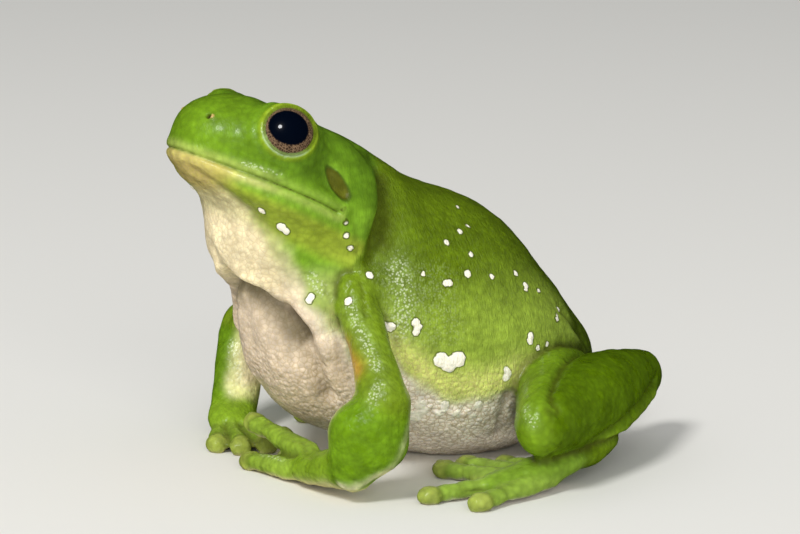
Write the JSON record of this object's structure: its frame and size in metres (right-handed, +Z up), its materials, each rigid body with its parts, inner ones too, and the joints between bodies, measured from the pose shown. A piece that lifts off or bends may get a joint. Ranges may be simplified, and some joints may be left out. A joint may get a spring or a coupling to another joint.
{
  "type": "tree frog",
  "caption": "Life-size still model of a large green tree frog, sitting with its head raised, hands turned in under the chest and hind legs folded.",
  "frame": {"origin": "on the floor, under the middle of the frog's bounding box", "axes": "+Z up, -Y forward where the snout points, +X towards the frog's left side"},
  "size_m": [0.0948, 0.088, 0.0677],
  "materials": {
    "leaf_skin": "moist satin",
    "bright_skin": "moist gloss",
    "throat_skin": "fine granular",
    "digit_skin": "moist satin",
    "eyeball": "wet gloss",
    "eardrum_skin": "satin"
  },
  "bodies": {
    "root": {"head": "leaf_skin", "lower_jaw": "throat_skin", "trunk": "leaf_skin", "eye_left": "eyeball", "eye_right": "eyeball", "eardrum_left": "eardrum_skin", "eardrum_right": "eardrum_skin", "upper_arm_left": "bright_skin", "upper_arm_right": "bright_skin", "forearm_left": "bright_skin", "forearm_right": "bright_skin", "hand_left": "bright_skin", "hand_right": "bright_skin", "thigh_left": "leaf_skin", "thigh_right": "leaf_skin", "shank_left": "leaf_skin", "shank_right": "leaf_skin", "tarsus_left": "leaf_skin", "tarsus_right": "leaf_skin", "foot_left": "bright_skin", "foot_right": "bright_skin", "finger_left_1": "digit_skin", "finger_left_2": "digit_skin", "finger_left_3": "digit_skin", "finger_left_4": "digit_skin", "finger_right_1": "digit_skin", "finger_right_2": "digit_skin", "finger_right_3": "digit_skin", "finger_right_4": "digit_skin", "toe_left_1": "digit_skin", "toe_left_2": "digit_skin", "toe_left_3": "digit_skin", "toe_left_4": "digit_skin", "toe_left_5": "digit_skin", "toe_right_1": "digit_skin", "toe_right_2": "digit_skin", "toe_right_3": "digit_skin", "toe_right_4": "digit_skin", "toe_right_5": "digit_skin", "web_left_1": "digit_skin", "web_left_2": "digit_skin", "web_left_3": "digit_skin", "web_left_4": "digit_skin", "web_right_1": "digit_skin", "web_right_2": "digit_skin", "web_right_3": "digit_skin", "web_right_4": "digit_skin"}
  },
  "joints": []
}
